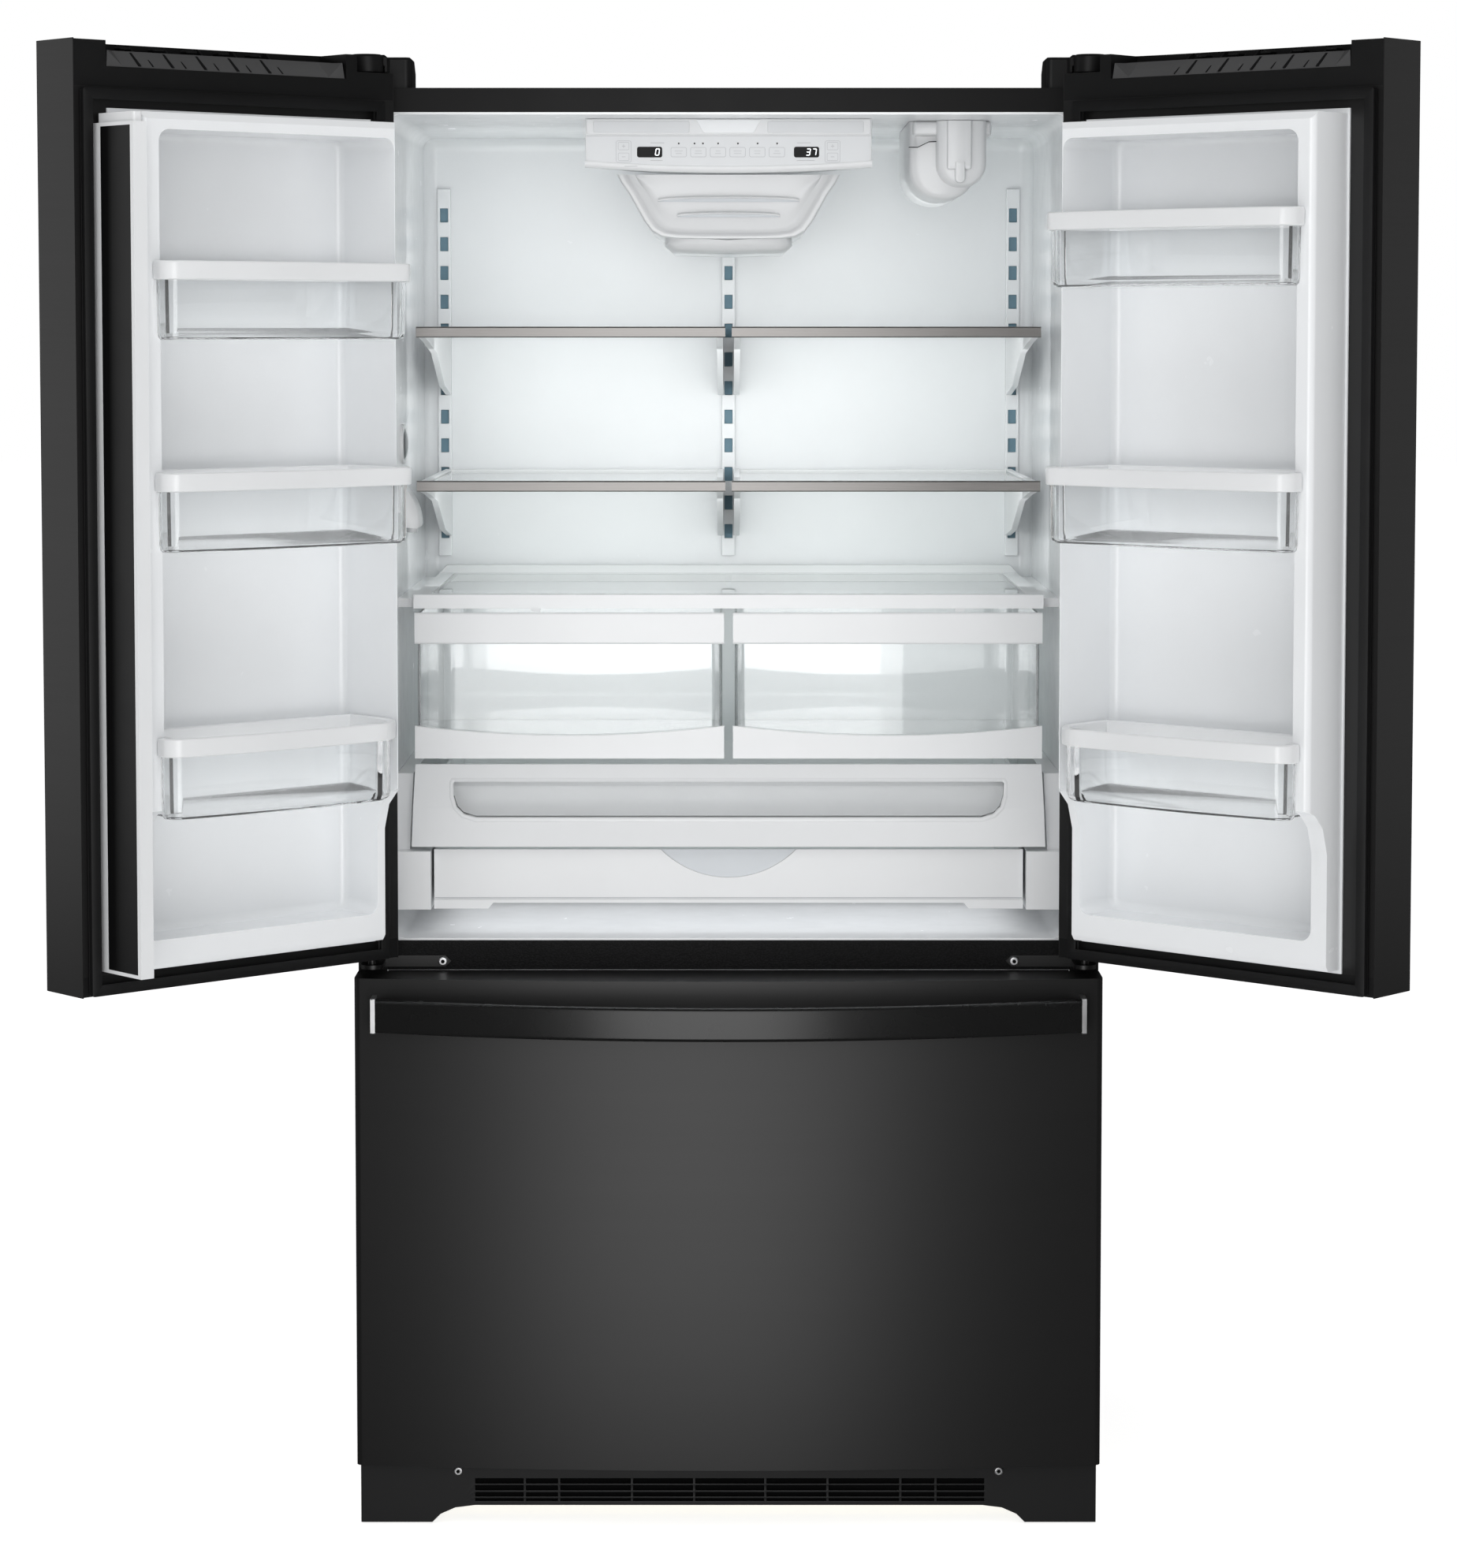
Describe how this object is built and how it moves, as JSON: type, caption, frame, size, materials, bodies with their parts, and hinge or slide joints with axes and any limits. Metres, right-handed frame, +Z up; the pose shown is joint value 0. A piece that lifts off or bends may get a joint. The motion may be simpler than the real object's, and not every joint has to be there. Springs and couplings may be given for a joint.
{
  "type": "french door refrigerator",
  "caption": "Freestanding refrigerator with paired swinging doors over a bottom freezer drawer, shown with the doors open, with shelves, bins and crispers.",
  "frame": {"origin": "on the floor, at the middle of the width and of the depth that the part takes up with its doors open", "axes": "+Z up, +X to the right as seen from the front, +Y to the rear; the doors and drawers face -Y"},
  "size_m": [1.5734, 1.113, 1.785],
  "materials": {
    "black_steel": "satin black finish on steel",
    "black_case": "fine orange-peel black paint",
    "black_plastic": "moulded black plastic",
    "grey_grille": "moulded dark grey plastic",
    "black_gasket": "soft vinyl magnetic seal",
    "white_plastic": "white moulded plastic",
    "white_liner": "white thermoformed liner",
    "clear_plastic": "clear moulded plastic",
    "shelf_glass": "tempered glass",
    "brushed_trim": "brushed metal trim",
    "chrome_cap": "polished",
    "zinc_steel": "bright zinc plated",
    "black_compressor": "gloss black enamel",
    "aluminium_fin": "mill finish",
    "foam": "rigid polyurethane foam",
    "grey_plastic": "grey moulded plastic",
    "galvanised": "galvanised sheet"
  },
  "bodies": {
    "cabinet": {"air_duct": "white_plastic", "base_frame": "galvanised", "base_grille": "grey_grille", "centre_rail": "black_plastic", "compressor": "black_compressor", "condenser_coil": "black_compressor", "control_housing": "white_plastic", "crisper_cover_frame": "white_plastic", "drawer_rails": "galvanised", "evaporator_coil": "aluminium_fin", "filter_housing": "white_plastic", "foam_insulation": "foam", "frame_screws": "zinc_steel", "freezer_liner": "white_liner", "fresh_food_liner": "white_liner", "hinge_brackets": "black_steel", "hinge_covers": "black_plastic", "levelling_legs": "zinc_steel", "outer_case": "black_case", "pantry_brackets": "white_plastic", "rear_panel": "galvanised", "shelf_brackets": "white_plastic", "shelf_glass": "shelf_glass", "shelf_ladders": "white_plastic", "shelf_trims": "brushed_trim", "water_dispenser": "white_plastic"},
    "left_door": {"left_door_skin": "black_steel", "left_door_end_caps": "black_plastic", "left_door_liner": "white_liner", "left_door_gasket": "black_gasket", "left_door_handle": "black_steel", "left_bin_tubs": "clear_plastic", "left_bin_rims": "white_plastic"},
    "right_door": {"right_door_skin": "black_steel", "right_door_end_caps": "black_plastic", "right_door_liner": "white_liner", "right_door_gasket": "black_gasket", "right_door_handle": "black_steel", "right_bin_tubs": "clear_plastic", "right_bin_rims": "white_plastic"},
    "flip_mullion": {"mullion_frame": "white_plastic", "mullion_face": "black_plastic"},
    "freezer_drawer": {"drawer_skin": "black_steel", "drawer_liner": "white_liner", "drawer_gasket": "black_gasket", "drawer_handle": "black_steel", "drawer_handle_caps": "chrome_cap", "drawer_basket": "white_plastic", "drawer_slides": "galvanised"},
    "left_crisper": {"left_crisper_tub": "clear_plastic", "left_crisper_front": "white_plastic"},
    "right_crisper": {"right_crisper_tub": "clear_plastic", "right_crisper_front": "white_plastic"},
    "pantry_drawer": {"pantry_pan": "white_plastic"},
    "pantry_flap": {"pantry_lid": "white_plastic", "pantry_window": "clear_plastic"},
    "condenser_blower": {"condenser_fan": "grey_plastic"},
    "evaporator_blower": {"evaporator_fan": "grey_plastic"},
    "rollers": {"rear_rollers": "grey_plastic"},
    "water_button": {"dispenser_button": "grey_plastic"}
  },
  "joints": [
    {"name": "left_door_swing", "type": "hinge", "parent": "cabinet", "child": "left_door", "pos_m": [-0.4325, -0.204, 0.7], "axis": [0, 0, -1], "range_deg": [-138, 0]},
    {"name": "right_door_swing", "type": "hinge", "parent": "cabinet", "child": "right_door", "pos_m": [0.4325, -0.204, 0.7], "axis": [0, 0, 1], "range_deg": [-138, 0]},
    {"name": "mullion_fold", "type": "hinge", "parent": "left_door", "child": "flip_mullion", "pos_m": [-0.70626, -0.50298, 1.2], "axis": [0, 0, 1], "range_deg": [-90, 0]},
    {"name": "freezer_drawer_slide", "type": "slide", "parent": "cabinet", "child": "freezer_drawer", "axis": [0, -1, 0], "range_m": [0, 0.36]},
    {"name": "left_crisper_slide", "type": "slide", "parent": "cabinet", "child": "left_crisper", "axis": [0, -1, 0], "range_m": [0, 0.3]},
    {"name": "right_crisper_slide", "type": "slide", "parent": "cabinet", "child": "right_crisper", "axis": [0, -1, 0], "range_m": [0, 0.3]},
    {"name": "pantry_slide", "type": "slide", "parent": "cabinet", "child": "pantry_drawer", "axis": [0, -1, 0], "range_m": [0, 0.3]},
    {"name": "pantry_lid_flip", "type": "hinge", "parent": "pantry_drawer", "child": "pantry_flap", "pos_m": [0, -0.058, 0.914], "axis": [-1, 0, 0], "range_deg": [0, 75]},
    {"name": "condenser_fan_spin", "type": "hinge", "parent": "cabinet", "child": "condenser_blower", "pos_m": [0.02, 0.434, 0.18], "axis": [1, 0, 0], "continuous": true},
    {"name": "evaporator_fan_spin", "type": "hinge", "parent": "cabinet", "child": "evaporator_blower", "pos_m": [0, 0.354, 0.59], "axis": [0, 1, 0], "continuous": true},
    {"name": "rollers_roll", "type": "hinge", "parent": "cabinet", "child": "rollers", "pos_m": [0, 0.474, 0.022], "axis": [1, 0, 0], "continuous": true},
    {"name": "water_button_press", "type": "slide", "parent": "cabinet", "child": "water_button", "axis": [-1, 0, 0], "range_m": [0, 0.002], "stiffness_N_per_m": 400, "springref_m": -0.001}
  ],
  "couplings": [
    {"joint": "mullion_fold", "follows": "left_door_swing", "ratio": 0.652}
  ]
}
